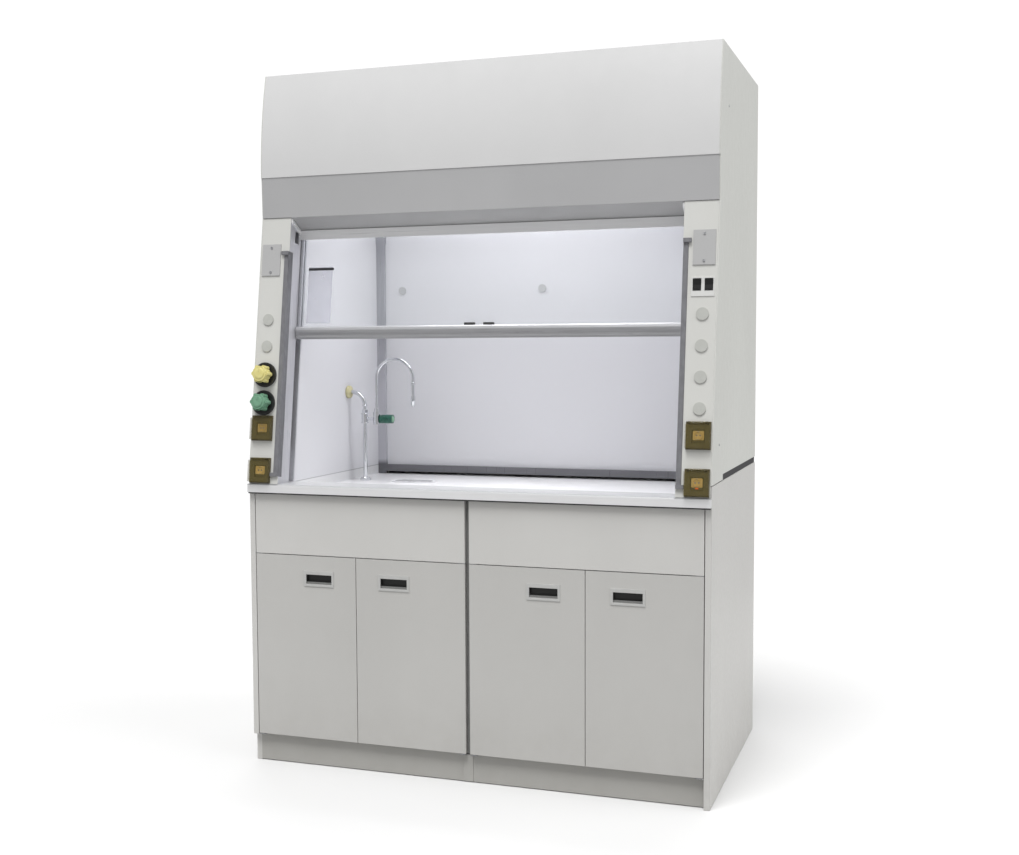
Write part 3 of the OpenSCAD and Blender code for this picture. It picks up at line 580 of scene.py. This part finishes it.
bm = bmesh.new()
pipe_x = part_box("tap_body")[0].x + 0.065
for z, r in ((1.0862, 13.5), (1.1182, 13.5), (1.148, 8.6), (0.8895, 15.5)):
    lathe(bm, [(7.2, -2), (r, -1.8), (r + 0.8, -0.6), (r + 0.8, 0.6), (r, 1.8), (7.2, 2)],
          Vector((pipe_x, riser.y, z)), Z, 36)
prism(bm, [(11.5 * math.cos(math.radians(60 * i)), 11.5 * math.sin(math.radians(60 * i))) for i in range(6)],
      axes(Vector((pipe_x, riser.y, 0)), X, Vector((0, 1, 0)), Z), 1121, 1133, 1.0)
piece("tap_collars", bm, chrome, "hood")

bm = bmesh.new()
flange_height = 1.195
flange = Vector((-liner_x, riser.y, flange_height))
lathe(bm, [(19.3, 0.2), (22.0, 0.4), (22.6, 3.0), (22.0, 9.0), (20.0, 11.2), (12.0, 12.0), (8.6, 14.5), (7.3, 14.5),
           (7.3, 9.4), (19.3, 9.4)], flange, X, 48)
piece("wall_flange", bm, pale_yellow, "hood", True)

handle_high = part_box("tap_handle")[1]
bm = bmesh.new()
end = Vector((handle_high.x, riser.y, joints["tap_handle_turn"]["pos_m"][2]))
lathe(bm, [(0, -0.6), (11.0, -0.6), (11.0, 0.05), (9.8, 1.1), (4.0, 1.7), (0, 1.8)], end, X, 40)
piece("handle_cap", bm, green, "tap_handle", True)

# Cup sink strainer
sink_low, sink_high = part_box("cup_sink")
bowl_floor = sink_low.z + 0.044
sink = Vector(((sink_low.x + sink_high.x) / 2, (sink_low.y + sink_high.y) / 2, bowl_floor))
bm = bmesh.new()
lathe(bm, [(24.0, 0.1), (24.0, 1.2), (22.5, 2.2), (17.2, 1.4), (16.4, 0.4), (16.4, -3.0), (16.9, -3.0), (16.9, 0.1)],
      sink, Z, 48)
for a in range(0, 180, 45):
    m = Matrix.Translation(sink) @ Matrix.Rotation(math.radians(a), 4, "Z")
    block(bm, m, (-16.6, 16.6), (-1.0, 1.0), (-1.6, 0.2), 0.3)
lathe(bm, [(0, -1.7), (4.6, -1.7), (4.6, 0.4), (3.8, 1.0), (0, 1.0)], sink, Z, 24)
piece("sink_strainer", bm, chrome, "hood")

# Silicone beads where the liners meet the worktop
bm = bmesh.new()
section = [(0.0, 0.0), (-3.6, 0.0), (-2.6, 0.7), (-1.3, 1.7), (-0.5, 3.0), (0.0, 4.4)]
for side in (-1, 1):
    sweep(bm, *[[Vector((side * liner_x + side * (p * MM), y, sink_high.z - 3 * MM + q * MM + 0.0001))
                 for p, q in section] for y in (front_y + 0.122, front_y + 0.772)])
piece("silicone_beads", bm, silicone, "hood")

# Painted shadow: a dark rubber strip under the worktop's front edge, put there to give the dark shadow line under
# the edge
top_low, top_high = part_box("worktop")
bm = bmesh.new()
section = [(-12.6, 0.0), (-12.6, -3.2), (-11.8, -4.2), (-2.0, -4.2), (-0.8, -5.4), (-0.4, -5.4), (-0.4, 0.0)]
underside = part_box("aprons")[1].z
sweep(bm, *[[Vector((x, front_y + p * MM, underside + q * MM)) for p, q in section]
            for x in (top_low.x + 0.002, top_high.x - 0.002)])
piece("shadow_strip", bm, rubber, "hood")

# Pan-head screws on the duct flange
def screw(bm, at, axis, r):
    lathe(bm, [(r, 0.02), (r, 0.5), (r * 0.85, 1.4), (r * 0.5, 1.9), (r * 0.42, 1.9), (r * 0.36, 1.1), (0, 1.0)],
          at, axis, 18)


bm = bmesh.new()
collar_low, collar_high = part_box("duct_collar")
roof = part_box("roof_panel")[1].z
collar = Vector(((collar_low.x + collar_high.x) / 2, (collar_low.y + collar_high.y) / 2, roof + 3 * MM))
bolt_radius = 0.138
for i in range(8):
    a = math.radians(45 * i + 22.5)
    screw(bm, collar + Vector((math.cos(a), math.sin(a), 0)) * bolt_radius, Z, 3.6)
piece("duct_screws", bm, steel, "hood")

# Rolled bead on the duct collar
bm = bmesh.new()
lathe(bm, [(125.02, 30), (126.4, 30.8), (127.2, 32.5), (126.4, 34.2), (125.02, 35)], collar, Z, 96)
piece("duct_bead", bm, zinc, "hood", True)

# Hinge cups and arms on the inner faces of the doors
cup_height = 0.09
for kind, side in (("outer", "left"), ("inner", "left"), ("inner", "right"), ("outer", "right")):
    node = f"door_{kind}_{side}"
    lo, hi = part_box(node)
    pin = Vector(joints[f"{kind}_{side}_hinge"]["pos_m"])
    inward = 1 if (lo.x + hi.x) / 2 > pin.x else -1
    bm = bmesh.new()
    for z in (lo.z + cup_height, hi.z - cup_height):
        m = axes(Vector((pin.x + inward * 0.016, hi.y, z)), X * inward, Z, Vector((0, 1, 0)))
        lathe(bm, [(0, 0.02), (17.5, 0.02), (17.5, 0.9), (16.4, 1.3), (14.0, 1.3), (13.2, 0.6), (0, 0.6)],
              m.translation, (0, 1, 0), 36)
        prism(bm, rounded(13, 46, 4), m, 0.1, 1.7, 0.4)
        for y in (-17, 17):
            screw(bm, m @ Vector((0, y * MM, 1.6 * MM)), (0, 1, 0), 3.0)
    piece(f"hinge_cups_{kind}_{side}", bm, steel, node)

# Ridges on the rockers' dished faces, which rise from the waist to the ends
half_length, waist, rise = 16.5, 6.5, 2.5
for node in ("rocker_fan", "rocker_light"):
    pivot = Vector(joints[f"{node}_tilt"]["pos_m"])
    lo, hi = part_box(node)
    x = (lo.x + hi.x) / 2
    m = axes(Vector((x, pivot.y, pivot.z)), X, up, out)
    m = m @ Matrix.Rotation(math.radians(8), 4, "X")
    bm = bmesh.new()
    for s in (-12.6, -10.8, -9.0):
        depth = waist + (abs(s) / half_length) * rise
        block(bm, m, (-6.5, 6.5), (s - 0.45, s + 0.45), (depth - 0.1, depth + 0.45), 0.2)
    piece(f"{node}_ridges", bm, black, node)

# Knob caps and pointer ribs
for node, look, slot in (("knob_gas", yellow, "knob_yellow"), ("knob_water", green, "knob_green")):
    pivot = Vector(joints[f"{node}_turn"]["pos_m"])
    m = axes(pivot - out * 0.020, X, up, out)
    bm = bmesh.new()
    lathe(bm, [(0, 43.8), (17.5, 43.8), (18.0, 44.6), (17.0, 46.0), (12.0, 47.0), (0, 47.3)], m.translation, out, 48)
    block(bm, m, (-1.6, 1.6), (5.0, 16.0), (46.2, 48.2), 0.6)
    piece(f"{node}_cap", bm, look, node)


# ---------------------------------------------------------------- stage, light and camera

def seen_by_camera(tree, camera_shader, other_shader, surface):
    """Show the camera one shader and every other ray another."""
    path = tree.nodes.new("ShaderNodeLightPath")
    either = tree.nodes.new("ShaderNodeMixShader")
    tree.links.new(path.outputs["Is Camera Ray"], either.inputs["Fac"])
    tree.links.new(other_shader, either.inputs[1])
    tree.links.new(camera_shader, either.inputs[2])
    tree.links.new(either.outputs["Shader"], surface)


def floor_material():
    """A pale floor that fades out around the hood, and throws back less light than it shows."""
    m = bpy.data.materials.new("floor")
    m.use_nodes = True
    t = m.node_tree
    b = t.nodes["Principled BSDF"]
    b.inputs["Base Color"].default_value = (0.64, 0.64, 0.64, 1)
    b.inputs["Roughness"].default_value = 0.6
    b.inputs["Specular IOR Level"].default_value = 0.15
    coord = t.nodes.new("ShaderNodeTexCoord")
    length = t.nodes.new("ShaderNodeVectorMath")
    length.operation = "LENGTH"
    fade = t.nodes.new("ShaderNodeMapRange")
    fade.interpolation_type = "SMOOTHSTEP"
    for key, value in (("From Min", 1.3), ("From Max", 2.9), ("To Min", 1.0), ("To Max", 0.0)):
        fade.inputs[key].default_value = value
    t.links.new(coord.outputs["Object"], length.inputs[0])
    t.links.new(length.outputs["Value"], fade.inputs["Value"])
    t.links.new(fade.outputs["Result"], b.inputs["Alpha"])
    dull = t.nodes.new("ShaderNodeBsdfDiffuse")
    dull.inputs["Color"].default_value = (0.42, 0.42, 0.42, 1)
    seen_by_camera(t, b.outputs["BSDF"], dull.outputs["BSDF"], t.nodes["Material Output"].inputs["Surface"])
    return m


bm = bmesh.new()
bmesh.ops.create_circle(bm, cap_ends=True, radius=3.0, segments=128)
mesh = bpy.data.meshes.new("floor")
bm.to_mesh(mesh)
bm.free()
mesh.materials.append(floor_material())
floor = bpy.data.objects.new("floor", mesh)
floor.location.z = cad_box[0].z - 0.0005
scene.collection.objects.link(floor)

world = bpy.data.worlds.new("world")
scene.world = world
world.use_nodes = True
t = world.node_tree
back = t.nodes["Background"]
back.inputs["Color"].default_value = (1, 1, 1, 1)
back.inputs["Strength"].default_value = 0.46
white = t.nodes.new("ShaderNodeBackground")
white.inputs["Color"].default_value = (1, 1, 1, 1)
white.inputs["Strength"].default_value = 1.05
seen_by_camera(t, white.outputs["Background"], back.outputs["Background"],
               t.nodes["World Output"].inputs["Surface"])


def sun(name, azimuth, elevation, strength, angle):
    """A soft distant light that shines from the given side. Azimuth 0 is the front, 90 the right."""
    light = bpy.data.lights.new(name, "SUN")
    light.energy = strength
    light.angle = math.radians(angle)
    obj = bpy.data.objects.new(name, light)
    a, e = math.radians(azimuth), math.radians(elevation)
    toward = Vector((math.sin(a) * math.cos(e), -math.cos(a) * math.cos(e), math.sin(e)))
    obj.rotation_mode = "QUATERNION"
    obj.rotation_quaternion = toward.to_track_quat("Z", "Y")
    scene.collection.objects.link(obj)


sun("key", -8, 68, 3.05, 30)
sun("right_fill", 95, 25, 1.35, 60)
sun("rear_fill", 190, 40, 0.8, 60)

# The hood's own lamp: a wide glow and a narrower beam down to the worktop
lamp_low, lamp_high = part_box("lamp_diffuser")
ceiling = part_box("ceiling_liner")[0].z
for name, watts, spread in (("chamber", 4.8, 180), ("chamber_down", 1.8, 60)):
    light = bpy.data.lights.new(name, "AREA")
    light.shape = "RECTANGLE"
    light.size = (lamp_high.x - lamp_low.x) * 0.9
    light.size_y = (lamp_high.y - lamp_low.y) * 0.8
    light.energy = watts
    light.spread = math.radians(spread)
    light.color = (0.98, 0.98, 1.0)
    tube = bpy.data.objects.new(name, light)
    tube.location = ((lamp_low.x + lamp_high.x) / 2, (lamp_low.y + lamp_high.y) / 2, ceiling - 0.01)
    scene.collection.objects.link(tube)

# The camera stands where the photographer stood
camera = bpy.data.objects.new("camera", bpy.data.cameras.new("camera"))
scene.collection.objects.link(camera)
scene.camera = camera
camera.data.sensor_width = 36
camera.data.lens = 45.85
camera.data.shift_x = 0.0110
camera.data.shift_y = 0.0125
camera.data.clip_start = 0.1
camera.data.clip_end = 60
yaw, pitch, roll = 0.33455, -0.06987, -0.0048
forward = Vector((-math.sin(yaw) * math.cos(pitch), math.cos(yaw) * math.cos(pitch), math.sin(pitch)))
right = Vector((math.cos(yaw), math.sin(yaw), 0))
above = right.cross(forward)
tilted_right = right * math.cos(roll) + above * math.sin(roll)
tilted_up = above * math.cos(roll) - right * math.sin(roll)
camera.matrix_world = axes(Vector((1.3867, -3.690 + front_y, 1.3441)), tilted_right, tilted_up, -forward)

scene.view_settings.view_transform = "Standard"
